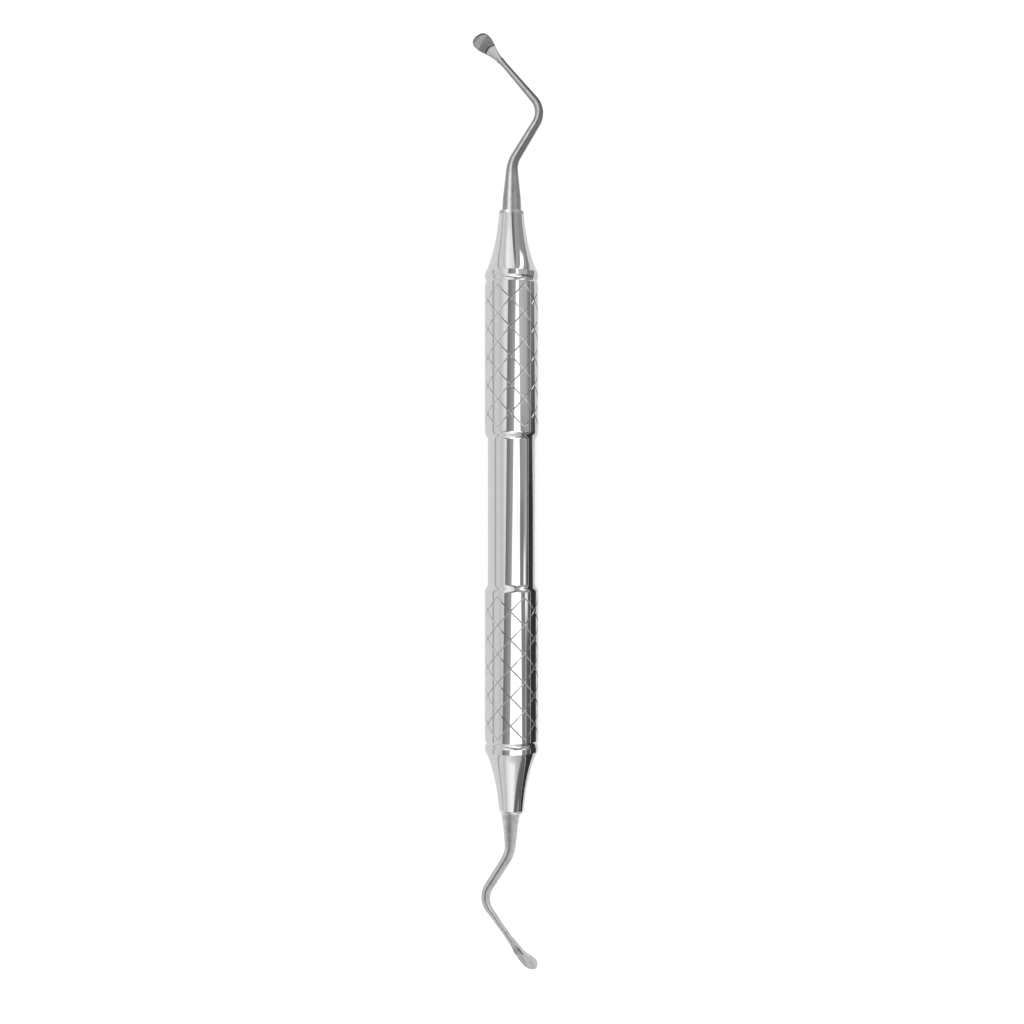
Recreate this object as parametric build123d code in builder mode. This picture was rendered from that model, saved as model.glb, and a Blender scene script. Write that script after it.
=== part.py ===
"""Hand scaler: a double-ended dental instrument, 177 mm long, that lies along X.

A hollow turned handle carries a nose at each end, and each nose holds a bent, tapered
shank that ends in a small hollowed spoon. Millimetres; +Z is up, and the origin is the
middle of the handle, on its axis. The spoons' hollow faces look up.
"""

from build123d import *
import math
import os

os.makedirs("parts", exist_ok=True)

RIGHT, LEFT = 1, -1  # which way along X an end of the instrument points

# ---------------------------------------------------------------- driving dimensions
# handle tube
grip_diameter = 10.0
waist_diameter = 8.87
tube_bore_diameter = 7.8
waist_half_length = 13.5  # from the middle to where the waist starts to widen
waist_step_length = 1.5  # over which the waist widens to the grip
grip_length = 28.0
waist_step_pull = 0.7  # of that step's curve handles, along the handle

# round groove over the joint between the tube and a nose, half of it on each
groove_width = 1.05
groove_depth = 0.2

# nose
band_length = 1.0  # full-diameter band between the groove and the flare
flare_length = 11.3
nose_tip_diameter = 4.64
flare_root_pull = (2.2, -1.3)  # curve handle at the band: along, outward
flare_tip_pull = (-4.5, 0.35)  # curve handle at the nose's small end: along, outward
nose_rounding_length = 0.4  # of the edge round the nose's end face
nose_face_land = 0.05  # flat left between that rounding and the shank
spigot_length = 8.0  # inside the tube
spigot_chamfer = 0.4

# tips: what both share
tang_length = 12.0  # held in the nose's bore
tang_bore_relief = 0.6  # empty end of the nose's bore, past the tang
tang_chamfer = 0.3
neck_diameter = 1.2  # where the shank ends and the spoon begins

# right tip, the longer one; its stations run from the nose's face: along, sideways
right_root_diameter = 3.6
right_first_bend = (9.04, 0.0)
right_second_bend = (19.03, -6.13)
right_neck = (28.02, 1.65)
right_bend_diameters = (2.1, 1.75)
right_bend_radii = (5.9, 3.9)
right_spoon_length = 7.42
right_spoon_drift = 3.8  # degrees that the spoon turns on from the shank's line
right_spoon_roll = 0.0  # degrees about the spoon's own axis

# left tip, the shorter one
left_root_diameter = 3.5
left_first_bend = (7.4, 0.0)
left_second_bend = (16.12, -5.656)
left_neck = (23.96, -0.157)
left_bend_diameters = (2.0, 1.75)
left_bend_radii = (5.9, 3.95)
left_spoon_length = 7.1
left_spoon_drift = 1.5
left_spoon_roll = 52.0

# spoon: its outline, its face and its hollow
spoon_width = 3.38
flare_share = 0.243  # of the spoon's length, where its neck starts to widen
flare_angle = 18.8  # degrees, between the widening sides and the spoon's axis
neck_flare_radius = 7.0
shoulder_radius = 3.0
end_round_share = 0.98  # of the spoon's half width, for the radius of its end
spoon_root_step = 0.05  # that the spoon's root stands proud of the shank
spoon_root_lap = 0.2  # that the root reaches back over the shank
spoon_pitch = -4.0  # degrees that the bowl's axis rises towards its end
face_height = 0.3  # of the spoon's flat face, over the neck's axis
facet_start = 1.0  # where the neck's flat top begins, from the neck
facet_height = 0.62  # of that flat where it begins
facet_end_share = 0.49  # of the spoon's length, where that flat meets the face
hollow_start_share = 0.49  # of the spoon's length
hollow_depth = 0.6
end_rim = 0.3  # wall left at the spoon's end, at its face
side_rim = 0.22  # wall left either side

# ---------------------------------------------------------------- worked-out sizes
grip_radius = grip_diameter / 2
waist_radius = waist_diameter / 2
bore_radius = tube_bore_diameter / 2
grip_start = waist_half_length + waist_step_length
groove_start = grip_start + grip_length
joint_station = groove_start + groove_width / 2
groove_end = groove_start + groove_width
flare_start = groove_end + band_length
flare_end = flare_start + flare_length
nose_face = flare_end + nose_rounding_length
nose_tip_radius = nose_tip_diameter / 2
groove_radius = grip_radius - groove_depth


def make_tube():
    """The hollow handle: two grips either side of a slimmer waist."""
    with BuildPart() as tube:
        with BuildSketch(Plane.XY):
            with BuildLine():
                joint_end = (joint_station, groove_radius)
                groove_lip = (groove_start, grip_radius)
                step_top = (grip_start, grip_radius)
                step_foot = (waist_half_length, waist_radius)
                Line((0, bore_radius), (joint_station, bore_radius))
                Line((joint_station, bore_radius), joint_end)
                Bezier(
                    joint_end,
                    (joint_station - groove_width / 4, groove_radius),
                    groove_lip,
                )
                Line(groove_lip, step_top)
                Bezier(
                    step_top,
                    (grip_start - waist_step_pull, grip_radius),
                    (waist_half_length + waist_step_pull, waist_radius),
                    step_foot,
                )
                Line(step_foot, (0, waist_radius))
                Line((0, waist_radius), (0, bore_radius))
            make_face()
            mirror(about=Plane.YZ)
        revolve(axis=Axis.X)
    return tube


def make_nose(end, tang_diameter):
    """A flared nose with the spigot that holds it in the tube, bored for a tang."""
    spigot_end = joint_station - spigot_length
    bore_end = nose_face - tang_length - tang_bore_relief
    tang_radius = tang_diameter / 2
    with BuildPart() as nose:
        with BuildSketch(Plane.XY):
            with BuildLine():
                joint_edge = (joint_station, groove_radius)
                groove_lip = (groove_end, grip_radius)
                band_edge = (flare_start, grip_radius)
                flare_tip = (flare_end, nose_tip_radius)
                face_edge = (nose_face, tang_radius + nose_face_land)
                spigot_corner = (joint_station, bore_radius)
                chamfer_top = (spigot_end + spigot_chamfer, bore_radius)
                chamfer_foot = (spigot_end, bore_radius - spigot_chamfer)
                Line((spigot_end, 0), chamfer_foot)
                Line(chamfer_foot, chamfer_top)
                Line(chamfer_top, spigot_corner)
                Line(spigot_corner, joint_edge)
                Bezier(
                    joint_edge,
                    (joint_station + groove_width / 4, groove_radius),
                    groove_lip,
                )
                Line(groove_lip, band_edge)
                Bezier(
                    band_edge,
                    (flare_start + flare_root_pull[0], grip_radius + flare_root_pull[1]),
                    (flare_end + flare_tip_pull[0], nose_tip_radius + flare_tip_pull[1]),
                    flare_tip,
                )
                Bezier(flare_tip, (nose_face, nose_tip_radius), face_edge)
                Line(face_edge, (nose_face, tang_radius))
                Line((nose_face, tang_radius), (bore_end, tang_radius))
                Line((bore_end, tang_radius), (bore_end, 0))
                Line((bore_end, 0), (spigot_end, 0))
            make_face()
            if end == LEFT:
                mirror(about=Plane.YZ, mode=Mode.REPLACE)
        revolve(axis=Axis.X)
    return nose


def across(point, direction):
    """The plane across a rod at a point, with its sketch's X pointing up."""
    return Plane(origin=point, x_dir=(0, 0, 1), z_dir=direction)


def make_shank(end, root_diameter, stations, bend_diameters, bend_radii):
    """The tang and the bent shank: tapered runs joined by round bends."""
    root, *_ = stations
    run_diameters = (
        (root_diameter, bend_diameters[0]),
        bend_diameters,
        (bend_diameters[1], neck_diameter),
    )
    with BuildPart() as shank:
        with BuildSketch(across(root, (-end, 0, 0))):
            Circle(root_diameter / 2)
        extrude(amount=tang_length)
        tang_end = shank.faces().sort_by(Axis.X)[0 if end == RIGHT else -1]
        chamfer(tang_end.edges(), tang_chamfer)

        with BuildLine() as centreline:
            FilletPolyline(*stations, radius=bend_radii)
        pieces = centreline.edges().sort_by(Axis.X, reverse=end == LEFT)
        for run, (thick, thin) in zip(pieces.filter_by(GeomType.LINE), run_diameters):
            with BuildSketch(across(run @ 0, run % 0)):
                Circle(thick / 2)
            with BuildSketch(across(run @ 1, run % 1)):
                Circle(thin / 2)
            loft(ruled=True)
        for bend, diameter in zip(pieces.filter_by(GeomType.CIRCLE), bend_diameters):
            with BuildSketch(across(bend @ 0, bend % 0)):
                Circle(diameter / 2)
            sweep(path=bend)
    return shank


def make_tip(end, root_diameter, bends_and_neck, bend_diameters, bend_radii,
             spoon_length, drift, roll):
    """A tip in one piece: tang, shank and hollowed spoon.

    The left tip is the same form as the right one, turned half round about Z.
    """
    root = Vector(end * nose_face, 0, 0)
    stations = [root] + [root + Vector(end * x, end * y, 0) for x, y in bends_and_neck]
    neck = stations[-1]
    heading = (neck - stations[-2]).normalized().rotate(Axis.Z, drift)
    up = Vector(0, 0, 1).rotate(Axis((0, 0, 0), heading), roll)
    sideways = heading.cross(up)
    upright = Plane(origin=neck, x_dir=heading, z_dir=sideways)
    bowl_heading = heading.rotate(Axis((0, 0, 0), sideways), spoon_pitch)
    bowl = Plane(origin=neck, x_dir=bowl_heading, z_dir=sideways)

    root_radius = neck_diameter / 2 + spoon_root_step
    half_width = spoon_width / 2
    flare_begin = flare_share * spoon_length
    shoulder = flare_begin + (half_width - root_radius) / math.tan(math.radians(flare_angle))

    facet_end = facet_end_share * spoon_length
    hollow_start = hollow_start_share * spoon_length
    hollow_reach = (spoon_length - end_rim - hollow_start) / 2
    hollow_middle = hollow_start + hollow_reach
    hollow_half_width = half_width - side_rim
    hollow_radius = (hollow_reach**2 + hollow_depth**2) / (2 * hollow_depth)
    hollow_axis = (hollow_half_width**2 - hollow_depth**2) / (2 * hollow_depth)
    hollow_point = math.sqrt(
        hollow_radius**2 - (hollow_radius - hollow_depth - hollow_axis) ** 2
    )

    with BuildPart() as tip:
        add(make_shank(end, root_diameter, stations, bend_diameters, bend_radii).part)

        # the spoon's body, turned about its own axis like a drop
        with BuildSketch(bowl):
            with BuildLine():
                FilletPolyline(
                    (-spoon_root_lap, root_radius),
                    (flare_begin, root_radius),
                    (shoulder, half_width),
                    (spoon_length, half_width),
                    (spoon_length, 0),
                    radius=(neck_flare_radius, shoulder_radius, end_round_share * half_width),
                )
                Line((spoon_length, 0), (-spoon_root_lap, 0))
                Line((-spoon_root_lap, 0), (-spoon_root_lap, root_radius))
            make_face()
        revolve(axis=Axis(bowl.origin, bowl.x_dir))

        # flat face, with the neck's flat running up to it
        with BuildSketch(upright):
            Polygon(
                (facet_start, facet_height),
                (facet_end, face_height),
                (spoon_length + spoon_width, face_height),
                (spoon_length + spoon_width, spoon_width),
                (facet_start, spoon_width),
                align=None,
            )
        extrude(amount=spoon_width, both=True, mode=Mode.SUBTRACT)

        # hollow, round both along and across
        hollow_axis_height = face_height + hollow_axis
        with BuildSketch(upright):
            with BuildLine():
                near = (hollow_middle - hollow_point, hollow_axis_height)
                far = (hollow_middle + hollow_point, hollow_axis_height)
                ThreePointArc(near, (hollow_middle, face_height - hollow_depth), far)
                Line(far, near)
            make_face()
        spin = Axis(upright.from_local_coords(near), upright.x_dir)
        revolve(axis=spin, mode=Mode.SUBTRACT)
    return tip


handle_tube = make_tube()
handle_tube.part.label = "handle_tube"
export_step(handle_tube.part, "parts/handle_tube.step")

right_nose = make_nose(RIGHT, right_root_diameter)
right_nose.part.label = "right_nose"
export_step(right_nose.part, "parts/right_nose.step")

left_nose = make_nose(LEFT, left_root_diameter)
left_nose.part.label = "left_nose"
export_step(left_nose.part, "parts/left_nose.step")

right_tip = make_tip(
    RIGHT, right_root_diameter, (right_first_bend, right_second_bend, right_neck),
    right_bend_diameters, right_bend_radii,
    right_spoon_length, right_spoon_drift, right_spoon_roll,
)
right_tip.part.label = "right_tip"
export_step(right_tip.part, "parts/right_tip.step")

left_tip = make_tip(
    LEFT, left_root_diameter, (left_first_bend, left_second_bend, left_neck),
    left_bend_diameters, left_bend_radii,
    left_spoon_length, left_spoon_drift, left_spoon_roll,
)
left_tip.part.label = "left_tip"
export_step(left_tip.part, "parts/left_tip.step")
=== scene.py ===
import math
import bpy
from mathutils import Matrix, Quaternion, Vector


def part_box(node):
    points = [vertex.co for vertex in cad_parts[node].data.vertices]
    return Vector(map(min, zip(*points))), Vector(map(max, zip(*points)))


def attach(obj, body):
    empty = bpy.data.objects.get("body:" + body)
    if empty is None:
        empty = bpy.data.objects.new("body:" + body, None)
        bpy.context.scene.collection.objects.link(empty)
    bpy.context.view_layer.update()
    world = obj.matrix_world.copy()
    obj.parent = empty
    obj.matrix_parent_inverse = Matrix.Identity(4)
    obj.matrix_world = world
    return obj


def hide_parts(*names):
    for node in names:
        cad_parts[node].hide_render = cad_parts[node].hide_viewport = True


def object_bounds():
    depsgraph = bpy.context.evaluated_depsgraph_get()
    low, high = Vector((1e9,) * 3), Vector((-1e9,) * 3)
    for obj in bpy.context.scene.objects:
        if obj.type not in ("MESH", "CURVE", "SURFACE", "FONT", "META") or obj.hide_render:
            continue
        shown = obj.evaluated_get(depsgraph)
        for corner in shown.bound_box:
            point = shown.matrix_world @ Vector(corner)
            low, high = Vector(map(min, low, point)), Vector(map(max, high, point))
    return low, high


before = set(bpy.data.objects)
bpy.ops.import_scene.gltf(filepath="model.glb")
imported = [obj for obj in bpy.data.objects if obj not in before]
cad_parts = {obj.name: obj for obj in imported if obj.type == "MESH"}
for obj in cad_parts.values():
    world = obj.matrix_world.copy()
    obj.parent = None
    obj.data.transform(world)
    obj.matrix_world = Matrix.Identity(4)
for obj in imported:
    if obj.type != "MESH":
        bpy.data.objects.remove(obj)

cad_low, cad_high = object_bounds()
MM = 0.001
UP = Vector((0, 0, 1))
RIGHT, LEFT = 1, -1  # which way along X an end of the instrument points

# ---------------------------------------------------------------- sizes, millimetres
# taken from the frame
tube_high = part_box("handle_tube")[1]
nose_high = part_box("right_nose")[1]
joint_station = tube_high.x / MM
grip_radius = tube_high.y / MM
nose_face = nose_high.x / MM

# handle tube
waist_radius = 4.435
waist_half_length = 13.5
waist_step_length = 1.5
waist_step_pull = 0.7
bore_radius = 3.9
groove_width = 1.05
groove_depth = 0.2
edge_rounding = 0.05

# engraved lattice of diamonds on each grip
lattice_middle = 29.0  # from the middle of the handle
columns = 12  # half diamonds round the grip
rows = 10  # half diamonds along it
row_pitch = 2.65
lattice_turn = 28.0  # degrees from +Z to the first column
cut_width = 0.26
cut_depth = 0.1
# lines of the slanted grid within half a diamond, closest at the cuts
diamond_shares = (0, 0.011, 0.022, 0.035, 0.06, 0.11, 0.18, 0.26, 0.34, 0.42)

# nose
nose_around = 144  # points round it
band_length = 1.0
flare_length = 11.3
nose_tip_radius = 2.32
nose_rounding = 0.3
spigot_length = 8.0
spigot_clearance = 0.02
spigot_chamfer = 0.4
tang_bore_depth = 12.4
right_tang_radius, left_tang_radius = 1.8, 1.75
hidden_end_radius = 0.2  # of the small flat discs that close the nose inside
flare_root_pull = (2.2, -1.3)
flare_tip_pull = (-4.5, 0.35)

# tips: thicknesses are (length past the nose, diameter), corners (along, sideways) from the nose's face
tip_around = 160  # points round it
tang_length = 12.0
straight_spacing = 0.3
bend_spacing = 3  # degrees
right_thicknesses = ((0, 3.6), (7.3, 2.36), (8.4, 2.15), (10.2, 1.95), (19, 1.68), (21.5, 1.52),
                     (23.5, 1.41), (32, 1.13))
right_corners = ((9.1, -0.12), (19.01, -6.125), (28.02, 1.64))
right_radii = (5.9, 3.9)
left_thicknesses = ((0, 3.5), (2.5, 2.85), (4.0, 2.57), (5.5, 2.25), (6.3, 2.08), (9, 1.88), (16, 1.76),
                    (18.3, 1.6), (20.5, 1.3), (22.5, 1.18), (24.5, 1.13), (27, 1.16))
left_corners = ((7.61, -0.24), (16.12, -5.656), (23.837, -0.243))
left_radii = (5.9, 3.95)
right_drift, left_drift = 3.8, 1.5  # degrees that a spoon turns sideways at its neck
left_roll = 50  # degrees about the spoon's own axis

# spoon, from its neck to its end; pairs are (station, value)
spoon_length = 7.41
end_radius = 1.67
end_start = spoon_length - end_radius  # where the round end begins
neck_end = 1.6  # where the round neck gives way to a rim
neck_rim = 0.6
widths = ((0, 0.6), (0.6, 0.66), (1.1, 0.69), (1.6, 0.765), (2.1, 0.865), (2.6, 1.0), (3.1, 1.16),
          (3.6, 1.32), (4.1, 1.48), (4.6, 1.62), (5.1, 1.67), (5.74, 1.67))
rim_heights = ((1.6, 0.5), (3.6, 0.38), (4.6, 0.24), (5.2, 0.2), (6.0, 0.0), (6.5, -0.24),
               (7.0, -0.56), (7.41, -1.0))
rim_overhangs = ((0, 0), (1.6, 0.5), (2.6, 0.35), (3.6, 0.2), (5.0, 0.15))
keel_heights = ((0, -0.6), (1.6, -0.58), (3.0, -0.7), (4.0, -0.95), (5.0, -1.35), (5.74, -1.75),
                (6.5, -2.2), (7.41, -2.7))
crown_flattening, flattening_start, flattening_run = 0.3, 1, 3  # of the upper half
twist_start, twist_run = 0.6, 3.0
facet_start = 1.0
facet_height = 0.62
facet_fall = 0.13
facet_dish = 0.07
edge_blend = 0.14
crease_station = 3.6
crease_bow = 0.3
crease_run = 0.3
crease_shadow = 0.5
toe_growth, toe_lead = 0.2, 0.4  # how much the rim's inner wall widens at the end, and how early
end_dip = 0.02  # below the rim, at the spoon's very end
stripe_slants = ((3.9, 0.3), (5.7, 0.3), (6.4, 0.12))
floor_heights = ((3.0, -0.2), (5.6, -0.2), (5.7, -0.203), (6.0, -0.228), (6.1, -0.235), (6.2, -0.24),
                 (6.3, -0.258), (6.5, -0.33), (7.0, -0.68), (7.41, -1.05))
droop_start = 5.2

# where the spoon has its rings
neck_ring_spacing, neck_rings = 0.15, 19
crease_rings_start, crease_ring_spacing, crease_rings = 3.0, 0.03, 34
hollow_rings_start, hollow_rings = 4.02, 14
end_rings = 44

# how much each painted shade darkens the spoons, from 0 to 1
right_facet_painted_shade, left_facet_painted_shade = 0.3, 0.35
far_painted_shade, far_slant = 0.42, 0.3
corner_painted_shade = 0.9
painted_shade_overlap = 0.02  # painted shade is dropped where the upper side lies this far above the round skin
TINY = 1e-6


# ---------------------------------------------------------------- shapes
def bezier(controls, count):
    """Points along a Bezier curve of any degree."""
    points = []
    for step in range(count + 1):
        share = step / count
        level = [Vector(control) for control in controls]
        while len(level) > 1:
            level = [a.lerp(b, share) for a, b in zip(level, level[1:])]
        points.append(level[0])
    return points


def smooth(share):
    share = min(max(share, 0), 1)
    return share * share * (3 - 2 * share)


def onset(value, start, run):
    return smooth((value - start) / run)


def fade(value, end, run):
    return smooth((end - value) / run)


def between(stations, at):
    """A smooth, never overshooting curve through (station, value) pairs."""
    if at <= stations[0][0]:
        return stations[0][1]
    if at >= stations[-1][0]:
        return stations[-1][1]
    index = max(i for i, (station, _) in enumerate(stations) if station <= at)

    def slope(i):
        if i <= 0 or i >= len(stations) - 1:
            return 0
        before = (stations[i][1] - stations[i - 1][1]) / (stations[i][0] - stations[i - 1][0])
        after = (stations[i + 1][1] - stations[i][1]) / (stations[i + 1][0] - stations[i][0])
        return 0 if before * after <= 0 else 2 * before * after / (before + after)

    (x0, y0), (x1, y1) = stations[index], stations[index + 1]
    run = x1 - x0
    s = (at - x0) / run
    return ((1 + 2 * s) * (1 - s) ** 2 * y0 + s * (1 - s) ** 2 * run * slope(index)
            + s * s * (3 - 2 * s) * y1 + s * s * (s - 1) * run * slope(index + 1))


class Skin:
    """Points and faces of one piece, with the exact normal at every corner of a face."""

    def __init__(self):
        self.points, self.stains, self.faces, self.normals = [], [], [], []

    def point(self, along, radius, angle, stain=0):
        """Angle runs from +Z towards -Y; the last value is painted shade, from 0 to 1."""
        self.points.append((along, -radius * math.sin(angle), radius * math.cos(angle)))
        self.stains.append(stain)
        return len(self.points) - 1

    def face(self, corners, slopes=None):
        """Slopes are the outward normals (along, outward) at the corners; None makes a flat face."""
        spots = [Vector(self.points[corner]) for corner in corners]
        if slopes is None:
            flat = (spots[1] - spots[0]).cross(spots[2] - spots[0]).normalized()
            normals = [flat] * len(corners)
        else:
            normals = [self.lean(spot, slope) for spot, slope in zip(spots, slopes)]
        self.faces.append(corners)
        self.normals.append(normals)

    @staticmethod
    def lean(spot, slope):
        outward = Vector((0, spot.y, spot.z)).normalized()
        return (Vector((slope[0], 0, 0)) + outward * slope[1]).normalized()

    def mirror(self):
        """Adds the same skin on the other side of the middle."""
        count, made = len(self.points), list(zip(self.faces, self.normals))
        self.points += [(-x, y, z) for x, y, z in self.points]
        self.stains += self.stains
        for corners, normals in made:
            self.faces.append([corner + count for corner in reversed(corners)])
            self.normals.append([Vector((-n.x, n.y, n.z)) for n in reversed(normals)])

    def turn(self, end):
        """Turned half round about Z for the left end."""
        if end == LEFT:
            self.points = [(-x, -y, z) for x, y, z in self.points]
            self.normals = [[Vector((-n.x, -n.y, n.z)) for n in corners] for corners in self.normals]

    def piece(self, name, node):
        mesh = bpy.data.meshes.new(name)
        mesh.from_pydata([[value * MM for value in point] for point in self.points], [], self.faces)
        mesh.polygons.foreach_set("use_smooth", [True] * len(self.faces))
        # painted shade for each point, read by the steel's base colour
        mesh.attributes.new("stain", "FLOAT", "POINT").data.foreach_set("value", self.stains)
        mesh.normals_split_custom_set([normal for corners in self.normals for normal in corners])
        return dress(name, mesh, node, turned_steel)


def dress(name, mesh, node, material):
    mesh.materials.append(material)
    piece = bpy.data.objects.new(name, mesh)
    bpy.context.collection.objects.link(piece)
    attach(piece, "root")
    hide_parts(node)
    return piece


def run_slopes(run):
    """The outward normal (along, outward) at each point of a turned profile's smooth run."""
    slopes = []
    for index in range(len(run)):
        low, high = run[max(index - 1, 0)], run[min(index + 1, len(run) - 1)]
        along, outward = high[0] - low[0], high[1] - low[1]
        slopes.append(Vector((-outward, along)).normalized())
    for edge, inner in ((0, 1), (-1, -2)):
        if len(run) > 2:
            slopes[edge] = (2 * slopes[edge] - slopes[inner]).normalized()
    return slopes


def spin(skin, runs, angles, first=None, last=None):
    """Turns a profile made of smooth runs; first and last are rings that exist already."""
    ring = first
    for number, run in enumerate(runs):
        slopes = run_slopes(run)
        if ring is None:
            ring = [skin.point(run[0][0], run[0][1], angle) for angle in angles]
        for index in range(1, len(run)):
            at_end = number == len(runs) - 1 and index == len(run) - 1
            if at_end and last is not None:
                after = last
            else:
                after = [skin.point(run[index][0], run[index][1], angle) for angle in angles]
            for k in range(len(angles)):
                n = (k + 1) % len(angles)
                corners = [ring[k], ring[n], after[n], after[k]]
                skin.face(corners, [slopes[index - 1]] * 2 + [slopes[index]] * 2)
            ring = after
    return ring


# ---------------------------------------------------------------- materials
def new_material(name):
    material = bpy.data.materials.new(name)
    material.use_nodes = True
    material.node_tree.nodes.clear()
    return material, Wiring(material.node_tree)


class Wiring:
    """Short names for building a node tree."""

    def __init__(self, tree):
        self.tree = tree

    def node(self, kind, **settings):
        node = self.tree.nodes.new(kind)
        for name, value in settings.items():
            setattr(node, name, value)
        return node

    def join(self, source, target):
        if isinstance(source, (int, float, tuple)):
            target.default_value = source
        else:
            self.tree.links.new(source, target)

    def math(self, operation, *values):
        node = self.node("ShaderNodeMath", operation=operation)
        for value, socket in zip(values, node.inputs):
            self.join(value, socket)
        return node.outputs[0]

    def spread(self, value, low, high, to_low=0.0, to_high=1.0, kind="LINEAR"):
        node = self.node("ShaderNodeMapRange", interpolation_type=kind)
        for source, name in ((value, "Value"), (low, "From Min"), (high, "From Max"),
                             (to_low, "To Min"), (to_high, "To Max")):
            self.join(source, node.inputs[name])
        return node.outputs["Result"]

    def mix(self, share, low, high):
        node = self.node("ShaderNodeMix", data_type="FLOAT")
        for source, socket in zip((share, low, high), (node.inputs[0], node.inputs[2], node.inputs[3])):
            self.join(source, socket)
        return node.outputs[0]

    def noise(self, place, scale, detail=3, roughness=0.55):
        node = self.node("ShaderNodeTexNoise")
        self.join(place, node.inputs["Vector"])
        node.inputs["Scale"].default_value = scale
        node.inputs["Detail"].default_value = detail
        node.inputs["Roughness"].default_value = roughness
        return node.outputs["Fac"]

    def stretched(self, scale):
        """Object coordinates, stretched by a scale for each axis."""
        place = self.node("ShaderNodeTexCoord")
        mapping = self.node("ShaderNodeMapping")
        mapping.inputs["Scale"].default_value = scale
        self.join(place.outputs["Object"], mapping.inputs["Vector"])
        return mapping.outputs[0]


def steel(name, colour, roughness, smudge, scratch, mottle, stain):
    """Bare stainless steel: polish marks, faint smudges and mottling, and painted shade that darkens the
    base colour where a piece carries it.
    """
    material, wires = new_material(name)
    out = wires.node("ShaderNodeOutputMaterial")
    shader = wires.node("ShaderNodeBsdfPrincipled")
    shader.inputs["Metallic"].default_value = 1
    wires.join(shader.outputs[0], out.inputs[0])

    smudges = wires.noise(wires.stretched((1, 1, 1)), scale=260, detail=5)
    wires.join(wires.spread(smudges, 0.35, 0.75, roughness, roughness + smudge), shader.inputs["Roughness"])

    patches = wires.noise(wires.stretched((1, 1, 1)), scale=900, detail=4)
    grey = wires.spread(patches, 0.3, 0.7, 1 - mottle, 1.0)
    # painted shade: the base colour darkens by each piece's painted-shade attribute
    painted_shade_input = wires.node("ShaderNodeAttribute")
    painted_shade_input.attribute_name = "stain"
    grey = wires.math("MULTIPLY", grey, wires.spread(painted_shade_input.outputs["Fac"], 0.0, 1.0, 1.0, 1 - stain))
    tint = wires.node("ShaderNodeCombineColor")
    for socket, value in zip(tint.inputs, colour):
        wires.join(wires.math("MULTIPLY", grey, value), socket)
    wires.join(tint.outputs[0], shader.inputs["Base Color"])

    marks = wires.noise(wires.stretched((1, 0.06, 0.06)), scale=9000, detail=2)
    bump = wires.node("ShaderNodeBump")
    bump.inputs["Strength"].default_value = scratch
    bump.inputs["Distance"].default_value = 0.02 * MM
    wires.join(marks, bump.inputs["Height"])
    wires.join(bump.outputs[0], shader.inputs["Normal"])
    return material


turned_steel = steel("turned_steel", (0.68, 0.68, 0.685), roughness=0.035, smudge=0.03, scratch=0.06,
                     mottle=0.03, stain=0.5)
forged_steel = steel("forged_steel", (0.56, 0.56, 0.565), roughness=0.1, smudge=0.1, scratch=0.2,
                     mottle=0.22, stain=0.8)


# ---------------------------------------------------------------- handle tube
def tube_lattice(skin, diamond, angles):
    """The grip's engraved band: a slanted grid that follows the cuts. Returns its two edge rings."""
    count = len(diamond_shares) * 2
    line_gap = row_pitch * math.sqrt(2)
    start = lattice_middle - row_pitch * rows / 2
    around = columns // 2 * count
    grid = {}

    def cut(share):
        distance = abs(share - round(share)) * line_gap
        return cut_depth * max(0, 1 - 2 * distance / cut_width)

    def place(index):
        return index // count + diamond[index % count]

    for depth_index in range(rows * count + 1):
        for index in range(around):
            a, b = place(index + depth_index), place(index)
            depth = max(cut(a), cut(b))
            angle = math.radians(lattice_turn + 360 / columns * (a + b))
            # painted shade in the cuts, darker with their depth
            spot = skin.point(start + row_pitch * (a - b), grip_radius - depth, angle, depth / cut_depth)
            grid[depth_index, index] = (spot, depth)

    def corner(a, b):
        return grid[a - b, b % around]

    def close(*corners):
        numbers = [number for number, _ in corners]
        plain = all(depth == 0 for _, depth in corners)
        skin.face(numbers, [(0, 1)] * len(numbers) if plain else None)

    for b in range(around):
        for step in range(rows * count + 1):
            a = b + step
            if step == 0:
                close(corner(a, b), corner(a + 1, b + 1), corner(a + 1, b))
            elif step == rows * count:
                close(corner(a, b), corner(a, b + 1), corner(a + 1, b + 1))
            else:
                close(corner(a, b), corner(a, b + 1), corner(a + 1, b + 1), corner(a + 1, b))
    inner = [grid[0, k][0] for k in range(around)]
    outer = [grid[rows * count, (k + count) % around][0] for k in range(around)]
    return inner, outer


def make_tube():
    skin = Skin()
    diamond = list(diamond_shares) + [0.5] + [1 - share for share in reversed(diamond_shares[1:])]
    count = len(diamond)
    angles = []
    for index in range(columns // 2 * count):
        turn = 2 * (index // count + diamond[index % count])
        angles.append(math.radians(lattice_turn + 360 / columns * turn))

    inner, outer = tube_lattice(skin, diamond, angles)
    start = lattice_middle - row_pitch * rows / 2
    finish = lattice_middle + row_pitch * rows / 2
    step_foot, step_top = waist_half_length, waist_half_length + waist_step_length
    groove_start = joint_station - groove_width / 2
    groove_floor = grip_radius - groove_depth

    waist = [(0, waist_radius), (step_foot / 2, waist_radius), (step_foot, waist_radius)]
    step = bezier([(step_foot, waist_radius), (step_foot + waist_step_pull, waist_radius),
                   (step_top - waist_step_pull, grip_radius), (step_top, grip_radius)], count=16)
    land = [(step_top, grip_radius), (start - cut_width, grip_radius), (start, grip_radius)]
    spin(skin, [waist, step, land], angles, last=inner)

    rim = [(finish, grip_radius), (finish + cut_width, grip_radius),
           (groove_start - edge_rounding, grip_radius)]
    groove = bezier([(groove_start, grip_radius - edge_rounding / 2),
                     (joint_station - groove_width / 4, groove_floor),
                     (joint_station, groove_floor)], count=8)
    lip = bezier([rim[-1], (groove_start, grip_radius), groove[0]], count=3)
    face = [(joint_station, groove_floor), (joint_station, bore_radius)]
    bore = [(joint_station, bore_radius), (0, bore_radius)]
    spin(skin, [rim, lip, groove, face, bore], angles, first=outer)
    skin.mirror()
    return skin.piece("handle_tube_turned", "handle_tube")


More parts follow.
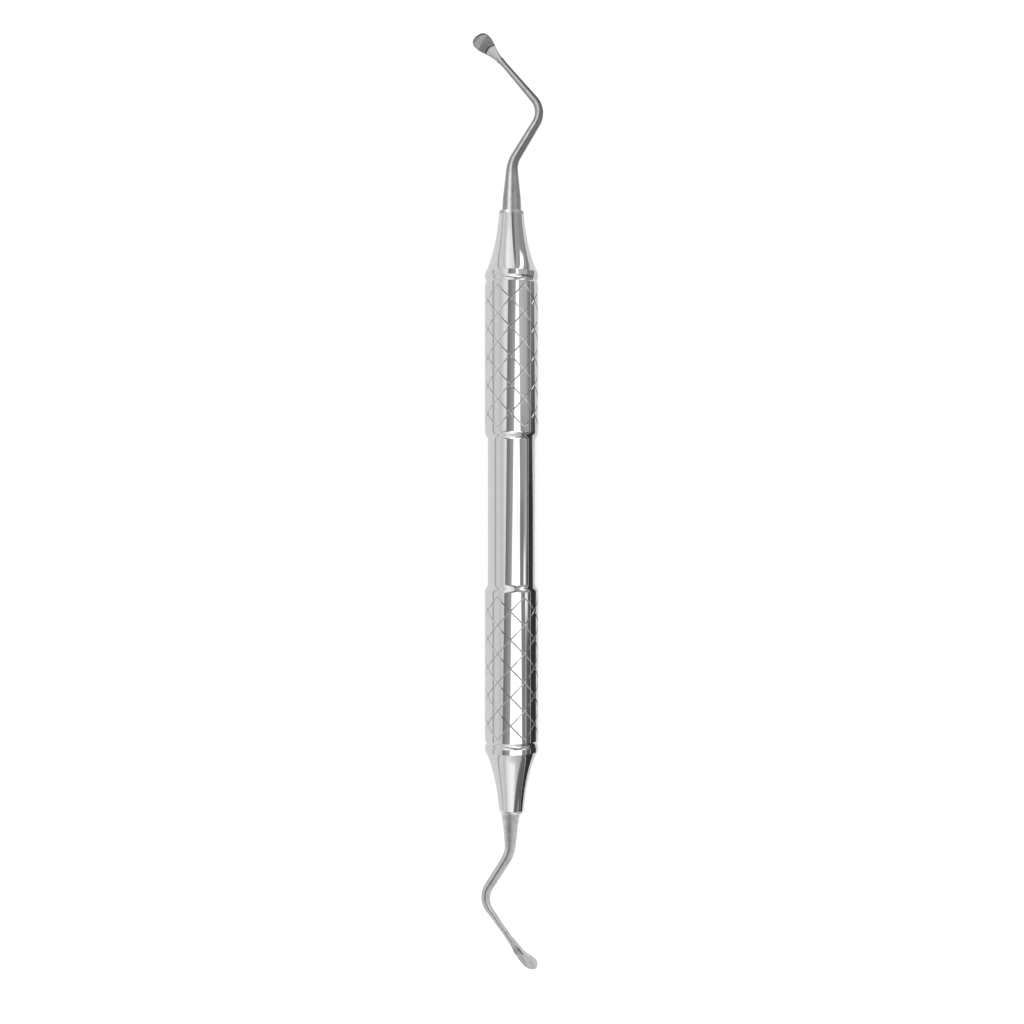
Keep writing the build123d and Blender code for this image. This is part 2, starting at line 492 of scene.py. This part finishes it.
# ---------------------------------------------------------------- noses
def make_nose(name, end, tang_radius):
    skin = Skin()
    angles = [math.tau * k / nose_around for k in range(nose_around)]
    groove_end = joint_station + groove_width / 2
    groove_floor = grip_radius - groove_depth
    flare_start = groove_end + band_length
    flare_end = flare_start + flare_length
    spigot_radius = bore_radius - spigot_clearance
    spigot_end = joint_station - spigot_length

    spigot = [(spigot_end, hidden_end_radius), (spigot_end, spigot_radius - spigot_chamfer)]
    chamfer = [spigot[-1], (spigot_end + spigot_chamfer, spigot_radius)]
    fit = [chamfer[-1], (joint_station, spigot_radius)]
    shoulder = [fit[-1], (joint_station, groove_floor)]
    groove = bezier([(joint_station, groove_floor), (joint_station + groove_width / 4, groove_floor),
                     (groove_end, grip_radius - edge_rounding / 2)], count=8)
    lip = bezier([groove[-1], (groove_end, grip_radius), (groove_end + edge_rounding, grip_radius)],
                 count=3)
    band = [lip[-1], (flare_start - edge_rounding / 2, grip_radius)]
    flare = bezier([(flare_start, grip_radius - edge_rounding / 3),
                    (flare_start + flare_root_pull[0], grip_radius + flare_root_pull[1]),
                    (flare_end + flare_tip_pull[0], nose_tip_radius + flare_tip_pull[1]),
                    (flare_end, nose_tip_radius)], count=48)
    brow = [band[-1], flare[0]]
    plain = [flare[-1], (nose_face - nose_rounding, nose_tip_radius)]
    edge = bezier([plain[-1], (nose_face, nose_tip_radius), (nose_face, nose_tip_radius - nose_rounding)],
                  count=6)
    front = [edge[-1], (nose_face, tang_radius)]
    bore = [front[-1], (nose_face - tang_bore_depth, tang_radius)]
    end_wall = [bore[-1], (nose_face - tang_bore_depth, hidden_end_radius)]
    runs = [spigot, chamfer, fit, shoulder, groove, lip, band, brow, flare, plain, edge, front, bore,
            end_wall]
    start = [skin.point(spigot[0][0], spigot[0][1], angle) for angle in angles]
    skin.face(list(reversed(start)))
    finish = spin(skin, runs, angles, first=start)
    skin.face(list(finish))
    skin.turn(end)
    return skin.piece(name + "_turned", name)


# ---------------------------------------------------------------- tips
def bent_line(stations, radii):
    """Points and directions every so often along straight runs joined by round bends."""
    samples = []

    def straight(start, finish):
        count = max(2, round((finish - start).length / straight_spacing))
        heading = (finish - start).normalized()
        samples.extend((start.lerp(finish, i / count), heading) for i in range(count))

    place = stations[0]
    for corner, after, radius in zip(stations[1:], stations[2:], radii):
        incoming, outgoing = (corner - place).normalized(), (after - corner).normalized()
        turn = incoming.angle(outgoing)
        reach = radius * math.tan(turn / 2)
        bend_start = corner - incoming * reach
        straight(place, bend_start)
        count = math.ceil(math.degrees(turn) / bend_spacing)
        inward = (outgoing - incoming * incoming.dot(outgoing)).normalized()
        for i in range(count):
            angle = turn * i / count
            ahead, aside = radius * math.sin(angle), radius * (1 - math.cos(angle))
            spot = bend_start + incoming * ahead + inward * aside
            samples.append((spot, incoming * math.cos(angle) + inward * math.sin(angle)))
        place = corner + outgoing * reach
    straight(place, stations[-1])
    return samples


def past_nose(corners):
    """A tip's corners as points beyond the nose's face, for a tip that points along +X."""
    return [Vector((nose_face + along, side, 0)) for along, side in corners]


def measured(samples):
    """The samples of a line, each with the length of the line up to it."""
    length, before = 0, None
    for spot, heading in samples:
        length += (spot - before).length if before is not None else 0
        before = spot
        yield length, spot, heading


def softer_min(a, b, blend):
    """The smaller of two heights, with the edge between them rounded."""
    gap = max(blend - abs(a - b), 0) / blend
    return min(a, b) - gap * gap * blend / 4


def drooped(heights, station, droop):
    """A height on the spoon whose fall towards the end is only a share of the full one."""
    level = between(heights, station)
    start = between(heights, droop_start)
    return level if station < droop_start else start + droop * (level - start)


def spoon_section(station, around, droop, wall_run, shading):
    """One ring of the spoon, as (across, up, painted shade) triples, from the top round towards +across."""
    rounding = 1
    if station > end_start:
        rounding = math.sqrt(max(0, 1 - ((station - end_start) / end_radius) ** 2))
    half = between(widths, station) * rounding
    if station < neck_end:
        rim, middle = neck_rim, 0.0
    else:
        rim = drooped(rim_heights, station, droop)
        middle = rim - between(rim_overhangs, station) * rounding
    under = (middle - drooped(keel_heights, station, droop)) * rounding
    over = half * (1 - crown_flattening * onset(station, flattening_start, flattening_run))
    ring = []
    for k in range(around):
        angle = math.tau * k / around
        across, rise = half * math.sin(angle), math.cos(angle)
        up, shade = middle + rise * (over if rise > 0 else under), 0
        if rise > -TINY:
            lip = half * math.sqrt(max(0, 1 - ((rim - middle) / max(over, TINY)) ** 2))
            top, shade = spoon_top(station, across, lip, rim, droop, wall_run, shading)
            shade = shade if top < up + painted_shade_overlap else 0
            up = softer_min(up, top, edge_blend)
        ring.append((across, up, shade))
    return ring


def spoon_top(station, across, lip, rim, droop, wall_run, shading):
    """Height and painted shade of the spoon's upper side: the neck's facet, the crease, the hollow and its
    rim.
    """
    crease = crease_station - crease_bow * across * across
    facet = facet_height - facet_fall * (station - facet_start) + facet_dish * across * across
    inside = lip - abs(across)
    if station < crease:
        return facet, shading(station, across, inside, 0, station - crease)
    if station > end_start:
        inside = min(inside, end_radius - math.hypot(station - end_start, across))
    toe = wall_run + toe_growth * smooth((station - end_start + toe_lead) / end_radius)
    wall = 1 - smooth(inside / toe)
    past = station - crease
    drop = 1 - smooth(past / crease_run)
    slant = between(stripe_slants, station)
    floor = drooped(floor_heights, station + slant * across, droop)
    shade = shading(station, across, inside, wall, past)
    return floor + (rim - floor) * wall + (facet - floor) * drop * (1 - wall), shade


def right_shading(station, across, inside, wall, past):
    """Painted shade: darker on one side of the neck's facet, past the crease, at the rim's foot and towards
    the end.
    """
    if past < 0:
        return right_facet_painted_shade * onset(across, -0.3, 0.9) * onset(station, 1.5, 0.8)
    crease = onset(past, 0, 0.05) * fade(past, crease_shadow, 0.1)
    rim_foot = onset(wall, 0, 0.25) * fade(wall, 1, 0.5)
    far = far_painted_shade * onset(station + far_slant * across, 5.6, 0.1)
    corner = corner_painted_shade * fade(inside, 0.65, 0.3) * onset(station, 6.0, 0.4) * fade(across, 0.2, 0.4)
    return max(crease, rim_foot, far, corner)


def left_shading(station, across, inside, wall, past):
    """Painted shade: duller on the neck's facet, with one dark side that follows the rim."""
    facet = left_facet_painted_shade * onset(station, 1.4, 0.8) * fade(past, 0, 0.2)
    side = onset(across, -0.1, 0.3) * fade(inside, 0.4, 0.15) * onset(station, 1.8, 0.4)
    return max(facet, side * fade(station, 4.9, 1.0))


def spoon_marks():
    """The stations of the spoon's rings, closest at the crease and round the end."""
    marks = [neck_ring_spacing * (i + 1) for i in range(neck_rings)]
    marks += [crease_rings_start + crease_ring_spacing * i for i in range(crease_rings)]
    hollow_length = end_start - hollow_rings_start
    marks += [hollow_rings_start + hollow_length * i / hollow_rings for i in range(hollow_rings)]
    marks += [end_start + end_radius * math.sin(math.pi / 2 * i / end_rings) for i in range(end_rings)]
    return marks


def make_tip(name, end, thicknesses, corners, radii, drift, roll, droop, wall_run, shading):
    """Tang, bent shank and spoon as one swept mesh."""
    around = tip_around
    stations = past_nose([(-tang_length, 0), *corners])
    samples = bent_line(stations, radii)
    points, shades, faces = [], [], []

    for length, spot, heading in measured(samples):
        side = UP.cross(heading)
        radius = between(thicknesses, length - tang_length) / 2
        for k in range(around):
            angle = math.tau * k / around
            points.append(spot + side * (radius * math.sin(angle)) + UP * (radius * math.cos(angle)))
            shades.append(0)

    neck, last_heading = stations[-1], samples[-1][1]
    heading = last_heading.copy()
    heading.rotate(Quaternion(UP, math.radians(drift)))
    flat_side = UP.cross(heading)
    marks = spoon_marks()
    for station in marks:
        twist = math.radians(roll) * onset(station, twist_start, twist_run)
        up = UP * math.cos(twist) - flat_side * math.sin(twist)
        side = flat_side * math.cos(twist) + UP * math.sin(twist)
        spot = neck + heading * station
        for across, height, shade in spoon_section(station, around, droop, wall_run, shading):
            points.append(spot + side * across + up * height)
            shades.append(shade)
    end_height = drooped(rim_heights, spoon_length, droop) - end_dip
    points.append(neck + heading * spoon_length + up * end_height)
    shades.append(0)

    rings = len(samples) + len(marks)
    for ring in range(rings - 1):
        for k in range(around):
            n = (k + 1) % around
            low, high = ring * around, (ring + 1) * around
            faces.append((low + k, high + k, high + n, low + n))
    final = (rings - 1) * around
    faces += [(final + k, len(points) - 1, final + (k + 1) % around) for k in range(around)]
    faces.append(tuple(range(around)))
    if end == LEFT:
        points = [Vector((-p.x, -p.y, p.z)) for p in points]

    mesh = bpy.data.meshes.new(name)
    mesh.from_pydata([p * MM for p in points], [], faces)
    mesh.polygons.foreach_set("use_smooth", [True] * len(faces))
    mesh.set_sharp_from_angle(angle=math.radians(40))
    # painted shade of the spoon's crease, rim foot, facet and end, read by the steel's base colour
    mesh.attributes.new("stain", "FLOAT", "POINT").data.foreach_set("value", shades)
    return dress(name + "_forged", mesh, name, forged_steel)


# ---------------------------------------------------------------- light tents
tent_ratio = 2.2  # a tent's radius as a multiple of its shank's
tent_overrun = 1.2  # past the neck
tent_steps = 24  # strips on each side of the middle
tent_grazing = 0.996  # the outermost strip, as a share of the way to the shank's edge
tent_reach = 12.0  # steel farther off than this doesn't mirror it
spoon_tent_shift = 1.0  # towards the spoon's end
spoon_tent_margin = 0.45
spoon_tent_radius = 3.2
spoon_tent_rings, spoon_tent_around = 24, 48
# levels across, from the picture's left edge (-1) to its right edge
right_root_glow = ((-1, 0.75), (-0.8, 0.55), (-0.62, 0.54), (-0.47, 0.85), (-0.32, 1.75), (-0.15, 1.3),
                   (0, 0.58), (0.15, 0.45), (0.3, 0.6), (0.45, 0.58), (0.7, 0.42), (0.85, 0.45), (1, 0.8))
right_middle_glow = ((-1, 0.75), (-0.85, 0.6), (-0.65, 0.5), (-0.5, 0.7), (-0.33, 1.35), (-0.18, 1.1),
                     (-0.02, 0.45), (0.12, 0.18), (0.22, 0.2), (0.35, 0.4), (0.5, 0.28), (0.68, 0.25),
                     (0.85, 0.45), (1, 0.8))
right_tip_glow = ((-1, 0.75), (-0.8, 0.5), (-0.6, 0.52), (-0.4, 0.85), (-0.2, 1.1), (-0.05, 1.0),
                  (0.15, 0.6), (0.32, 0.3), (0.48, 0.16), (0.65, 0.18), (0.85, 0.4), (1, 0.8))
left_root_glow = ((-1, 1.15), (-0.8, 1.1), (-0.6, 0.85), (-0.4, 0.62), (-0.15, 0.42), (0.1, 0.62),
                  (0.4, 0.85), (0.7, 0.95), (1, 1.0))
left_middle_glow = ((-1, 0.95), (-0.8, 0.95), (-0.6, 1.0), (-0.4, 0.85), (-0.24, 0.22), (-0.12, 0.3),
                    (0.05, 0.9), (0.3, 0.8), (0.6, 0.9), (0.8, 1.0), (1, 1.0))
left_tip_glow = ((-1, 0.95), (-0.7, 0.9), (-0.45, 0.98), (-0.25, 1.0), (-0.08, 0.28), (0.02, 0.26),
                 (0.15, 0.8), (0.3, 1.15), (0.5, 1.0), (0.75, 0.88), (1, 1.0))
# levels by the turn from +Z towards the picture's right, in degrees
left_spoon_glow = ((-180, 0.85), (-110, 0.92), (-60, 0.8), (0, 0.82), (45, 0.95), (75, 1.15), (110, 1.0),
                   (180, 0.85))


def make_tent(name, end, thicknesses, corners, radii, tables):
    """A narrow light tent round a shank, with levels that go by where the shank mirrors them."""
    stations = past_nose([(0, 0), *corners])
    stations[-1] += (stations[-1] - stations[-2]).normalized() * tent_overrun
    shares = [math.sin(math.pi / 2 * k / tent_steps) for k in range(-tent_steps, tent_steps + 1)]
    count = len(shares) + 1
    points, levels, faces = [], [], []
    for length, spot, heading in measured(bent_line(stations, radii)):
        side = UP.cross(heading) * -end
        radius = between(thicknesses, length) / 2 * tent_ratio
        for share in shares:
            slope = math.asin(tent_grazing * share)
            angle = 2 * slope - math.asin(math.sin(slope) / tent_ratio)
            points.append(spot + side * (radius * math.sin(angle)) + UP * (radius * math.cos(angle)))
            levels.append(tent_level(tables, length, share))
        points.append(spot - UP * radius)
        levels.append(tent_level(tables, length, 1))
    rings = len(points) // count
    for ring in range(rings - 1):
        for k in range(count):
            n = (k + 1) % count
            low, high = ring * count, (ring + 1) * count
            faces.append((low + k, low + n, high + n, high + k))
    hang_tent(name, end, points, levels, faces)


def make_spoon_tent(name, end, corners, drift, table):
    """An egg-shaped light tent round a spoon. Its levels go by the turn about the spoon's own axis."""
    corner, neck = past_nose(corners[-2:])
    heading = (neck - corner).normalized()
    heading.rotate(Quaternion(UP, math.radians(drift)))
    side = UP.cross(heading) * -end
    middle = neck + heading * (spoon_length / 2 + spoon_tent_shift)
    half_length = spoon_length / 2 + spoon_tent_margin
    rings, around = spoon_tent_rings, spoon_tent_around
    points, levels = [middle - heading * half_length], [between(table, 0)]
    for ring in range(1, rings):
        polar = math.pi * ring / rings
        back, out = half_length * math.cos(polar), spoon_tent_radius * math.sin(polar)
        for k in range(around):
            angle = math.tau * k / around - math.pi
            outward = side * math.sin(angle) + UP * math.cos(angle)
            points.append(middle - heading * back + outward * out)
            levels.append(between(table, math.degrees(angle)))
    points.append(middle + heading * half_length)
    levels.append(between(table, 0))
    faces, last = [], len(points) - 1
    for k in range(around):
        n = (k + 1) % around
        faces.append((0, 1 + n, 1 + k))
        faces.append((last, last - around + k, last - around + n))
        for ring in range(rings - 2):
            low, high = 1 + ring * around, 1 + (ring + 1) * around
            faces.append((low + k, low + n, high + n, high + k))
    hang_tent(name, end, points, levels, faces)


def hang_tent(name, end, points, levels, faces):
    """Sets up a tent that only the steel close to it mirrors."""
    if end == LEFT:
        points = [Vector((-p.x, -p.y, p.z)) for p in points]
    mesh = bpy.data.meshes.new(name)
    mesh.from_pydata([p * MM for p in points], [], faces)
    mesh.attributes.new("level", "FLOAT", "POINT").data.foreach_set("value", levels)
    tent = bpy.data.objects.new(name, mesh)
    bpy.context.collection.objects.link(tent)
    only_mirrored(tent)
    mesh.materials.append(tent_glow(name))


def tent_glow(name):
    """Light by the level attribute for rays from close by, and clear for all others."""
    material, wires = new_material(name)
    out = wires.node("ShaderNodeOutputMaterial")
    glow = wires.node("ShaderNodeEmission")
    level = wires.node("ShaderNodeAttribute")
    level.attribute_name = "level"
    clear = wires.node("ShaderNodeBsdfTransparent")
    choice = wires.node("ShaderNodeMixShader")
    ray = wires.node("ShaderNodeLightPath")
    near = wires.math("LESS_THAN", ray.outputs["Ray Length"], tent_reach * MM)
    wires.join(level.outputs["Fac"], glow.inputs["Strength"])
    wires.join(near, choice.inputs[0])
    wires.join(clear.outputs[0], choice.inputs[1])
    wires.join(glow.outputs[0], choice.inputs[2])
    wires.join(choice.outputs[0], out.inputs[0])
    return material


def tent_level(tables, length, share):
    """Between the tables, each of which holds a station and (place across, level) pairs."""
    stations = [station for station, _ in tables]
    if length <= stations[0]:
        return between(tables[0][1], share)
    for (low, first), (high, second) in zip(tables, tables[1:]):
        if length <= high:
            blend = smooth((length - low) / (high - low))
            return between(first, share) * (1 - blend) + between(second, share) * blend
    return between(tables[-1][1], share)


def only_mirrored(piece):
    """Hides a stage piece from everything but mirror reflections."""
    for sight in ("visible_camera", "visible_diffuse", "visible_shadow", "visible_transmission",
                  "visible_volume_scatter"):
        setattr(piece, sight, False)


# ---------------------------------------------------------------- the five pieces and their tents
make_tube()
make_nose("right_nose", RIGHT, right_tang_radius)
make_nose("left_nose", LEFT, left_tang_radius)
make_tip("right_tip", RIGHT, right_thicknesses, right_corners, right_radii, right_drift,
         roll=0, droop=1.0, wall_run=0.12, shading=right_shading)
make_tip("left_tip", LEFT, left_thicknesses, left_corners, left_radii, left_drift,
         roll=left_roll, droop=0.45, wall_run=0.5, shading=left_shading)
make_tent("right_tent", RIGHT, right_thicknesses, right_corners, right_radii,
          ((7, right_root_glow), (10, right_middle_glow), (19, right_middle_glow), (22, right_tip_glow)))
make_tent("left_tent", LEFT, left_thicknesses, left_corners, left_radii,
          ((6, left_root_glow), (9, left_middle_glow), (17, left_middle_glow), (20, left_tip_glow)))
make_spoon_tent("left_spoon_tent", LEFT, left_corners, left_drift, left_spoon_glow)

# ---------------------------------------------------------------- studio
FLOOR_Z = cad_low.z
peak_level = 2.0  # colours hold the levels as shares of this
turn_levels = ((-180, 0.85), (-96, 0.84), (-90, 0.6), (-87, 0.42), (-83, 0.62), (-78, 0.85), (-60, 0.87),
               (-51, 0.76), (-46, 0.76), (-38, 0.88), (-28, 1.08), (0, 0.95), (40, 0.7), (62, 0.6),
               (90, 0.4), (120, 0.5), (180, 0.7))
flag_lift = 0.2 * MM
flag_corners = ((-0.3, -0.23), (0.3, -0.23), (0.3, -0.06), (0.06, -0.021), (0, -0.0115), (-0.3, -0.0115))
camera_height = 245
camera_shift = -0.11


def studio_world():
    """Softboxes and dark cards for the steel to mirror, and plain white for the camera.

    Turn is the angle about X, in degrees from +Z towards -Y; along is the direction's own X.
    """
    world = bpy.data.worlds.new("studio")
    world.use_nodes = True
    wires = Wiring(world.node_tree)
    world.node_tree.nodes.clear()
    out = wires.node("ShaderNodeOutputWorld")
    light = wires.node("ShaderNodeBackground")
    place = wires.node("ShaderNodeTexCoord")
    split = wires.node("ShaderNodeSeparateXYZ")
    wires.join(place.outputs["Generated"], split.inputs[0])
    along = split.outputs["X"]
    radians = wires.math("ARCTAN2", wires.math("MULTIPLY", split.outputs["Y"], -1.0), split.outputs["Z"])
    turn = wires.math("MULTIPLY", radians, 180 / math.pi)

    def slanted(slant):
        return wires.math("SUBTRACT", turn, wires.math("MULTIPLY", along, float(slant)))

    def window(low_value, high_value, low, high, soft):
        """One where low_value is above low and high_value below high, with soft edges."""
        rise = wires.spread(low_value, low - soft, low + soft, kind="SMOOTHSTEP")
        fall = wires.spread(high_value, high - soft, high + soft, 1.0, 0.0, kind="SMOOTHSTEP")
        return wires.math("MULTIPLY", rise, fall)

    ramp = wires.node("ShaderNodeValToRGB")
    wires.join(wires.spread(turn, -180, 180), ramp.inputs["Fac"])
    elements = ramp.color_ramp.elements
    while len(elements) < len(turn_levels):
        elements.new(0.5)
    for element, (angle, brightness) in zip(elements, turn_levels):
        element.position = (angle + 180) / 360
        element.color = (brightness / peak_level, brightness / peak_level, brightness / peak_level, 1)
    level = wires.math("MULTIPLY", ramp.outputs["Color"], peak_level)

    def card(low, high, slants, reach, level_low, level_high, soft=2.0, reach_soft=0.04):
        """Adds a card from one turn to another, its edges slanted along X, with a level at each edge."""
        nonlocal level
        low_edge, high_edge = slanted(slants[0]), slanted(slants[1])
        inside = wires.math("MULTIPLY", window(low_edge, high_edge, low, high, soft),
                            window(along, along, reach[0], reach[1], reach_soft))
        tone = wires.spread(low_edge, low, high, level_low, level_high)
        level = wires.mix(inside, level, tone)

    # toward the left end: a low light, then dark cards on its right
    card(-22, 22, (0, 0), (-0.8, -0.3), 1.25, 1.35, soft=14)
    card(-22, 118, (-110, 0), (-0.97, -0.3), 0.2, 0.06, soft=7, reach_soft=0.05)
    card(58, 70, (0, 0), (-0.42, -0.32), 0.5, 0.5, soft=4)
    # toward the right end: a bright ceiling, dark cards and a tall lamp
    card(-34, 20, (0, 0), (0.5, 1.1), 1.35, 0.95, soft=12, reach_soft=0.08)
    card(-21, 30, (52, 0), (0.27, 0.97), 0.15, 0.5, soft=3)
    card(30, 84, (0, 0), (0.27, 0.97), 0.5, 0.36, soft=3)
    card(84, 118, (0, 0), (0.2, 0.97), 0.33, 0.4, soft=4)
    card(58, 80, (0, 0), (0.62, 0.95), 1.9, 1.9, soft=3)
    # over the handle: the dark strip, the main softbox, and what lies to its right
    card(-26.5, 7, (74, 75), (-0.3, 0.27), 0.19, 0.54, soft=2.5)
    card(7, 44, (75, -75), (-0.02, 0.27), 2.0, 2.0, soft=2)
    card(5, 40, (60, -35), (-0.34, -0.02), 2.0, 2.0, soft=2)
    card(28, 31, (0, 0), (-0.03, 0.07), 0.85, 0.85, soft=1.5)
    card(-5, -1.5, (-170, -170), (-0.2, -0.08), 0.85, 0.95, soft=1.5, reach_soft=0.02)
    card(44, 70, (-75, 0), (0.08, 0.3), 0.7, 0.6, soft=2)
    card(70, 90, (0, 0), (0.08, 0.3), 0.42, 0.2, soft=3)
    card(44, 84, (-75, 0), (0.015, 0.08), 0.4, 0.5, soft=2, reach_soft=0.02)
    card(84, 100, (0, 0), (-0.3, 0.08), 0.08, 0.06, soft=2, reach_soft=0.03)
    card(41, 62, (-35, 0), (-0.3, 0.015), 0.36, 0.22, soft=2, reach_soft=0.02)
    card(62, 78, (0, 0), (-0.03, 0.015), 0.4, 0.66, soft=2, reach_soft=0.015)
    card(62, 76, (0, 0), (-0.085, -0.03), 1.7, 0.9, soft=2, reach_soft=0.015)
    card(62, 69, (0, 0), (-0.3, -0.085), 0.5, 0.45, soft=1.5, reach_soft=0.015)
    card(69, 84, (0, 0), (-0.3, -0.085), 0.16, 0.12, soft=1.5, reach_soft=0.015)
    card(76, 84, (0, 0), (-0.085, -0.03), 0.18, 0.14, soft=1.5, reach_soft=0.015)
    tint = wires.node("ShaderNodeCombineColor")
    for socket in tint.inputs:
        wires.join(wires.math("DIVIDE", level, peak_level), socket)
    wires.join(tint.outputs[0], light.inputs["Color"])
    light.inputs["Strength"].default_value = peak_level

    backdrop = wires.node("ShaderNodeBackground")
    backdrop.inputs["Color"].default_value = (1, 1, 1, 1)
    ray = wires.node("ShaderNodeLightPath")
    choice = wires.node("ShaderNodeMixShader")
    wires.join(ray.outputs["Is Camera Ray"], choice.inputs[0])
    wires.join(light.outputs[0], choice.inputs[1])
    wires.join(backdrop.outputs[0], choice.inputs[2])
    wires.join(choice.outputs[0], out.inputs[0])
    bpy.context.scene.world = world


def flat_plane(name, corners, z):
    mesh = bpy.data.meshes.new(name)
    mesh.from_pydata([(x, y, z) for x, y in corners], [], [tuple(range(len(corners)))])
    plane = bpy.data.objects.new(name, mesh)
    bpy.context.collection.objects.link(plane)
    return plane


def make_floor():
    """A pale floor. The camera and the steel see it a little brighter than it is lit."""
    floor = flat_plane("floor", ((-3, -3), (3, -3), (3, 3), (-3, 3)), FLOOR_Z)
    material, wires = new_material("floor")
    out = wires.node("ShaderNodeOutputMaterial")
    shader = wires.node("ShaderNodeBsdfPrincipled")
    shader.inputs["Base Color"].default_value = (0.8, 0.8, 0.8, 1)
    shader.inputs["Roughness"].default_value = 0.9
    shader.inputs["Specular IOR Level"].default_value = 0
    shader.inputs["Emission Color"].default_value = (1, 1, 1, 1)
    ray = wires.node("ShaderNodeLightPath")
    seen = wires.math("MULTIPLY", ray.outputs["Is Camera Ray"], 0.5)
    mirrored = wires.math("MULTIPLY", ray.outputs["Is Glossy Ray"], 0.2)
    wires.join(wires.math("ADD", seen, mirrored), shader.inputs["Emission Strength"])
    wires.join(shader.outputs[0], out.inputs[0])
    floor.data.materials.append(material)


def make_flag():
    """A dark flag on the floor to the handle's right, there only for the steel to mirror."""
    flag = flat_plane("flag", flag_corners, FLOOR_Z + flag_lift)
    only_mirrored(flag)
    material, wires = new_material("flag")
    out = wires.node("ShaderNodeOutputMaterial")
    glow = wires.node("ShaderNodeEmission")
    place = wires.node("ShaderNodeTexCoord")
    split = wires.node("ShaderNodeSeparateXYZ")
    wires.join(place.outputs["Object"], split.inputs[0])
    tone = wires.spread(split.outputs["X"], low=0.0, high=0.06, to_low=0.045, to_high=0.32,
                        kind="SMOOTHSTEP")
    wires.join(tone, glow.inputs["Strength"])
    wires.join(glow.outputs[0], out.inputs[0])
    flag.data.materials.append(material)


def make_camera():
    camera = bpy.data.cameras.new("camera")
    camera.sensor_width = 36
    camera.lens = 45.65
    camera.clip_start = 0.01
    holder = bpy.data.objects.new("camera", camera)
    holder.location = (0, camera_shift * MM, camera_height * MM)
    holder.rotation_euler = (0, 0, -math.pi / 2)
    bpy.context.collection.objects.link(holder)
    bpy.context.scene.camera = holder


studio_world()
make_floor()
make_flag()
make_camera()
bpy.context.scene.view_settings.view_transform = "Standard"
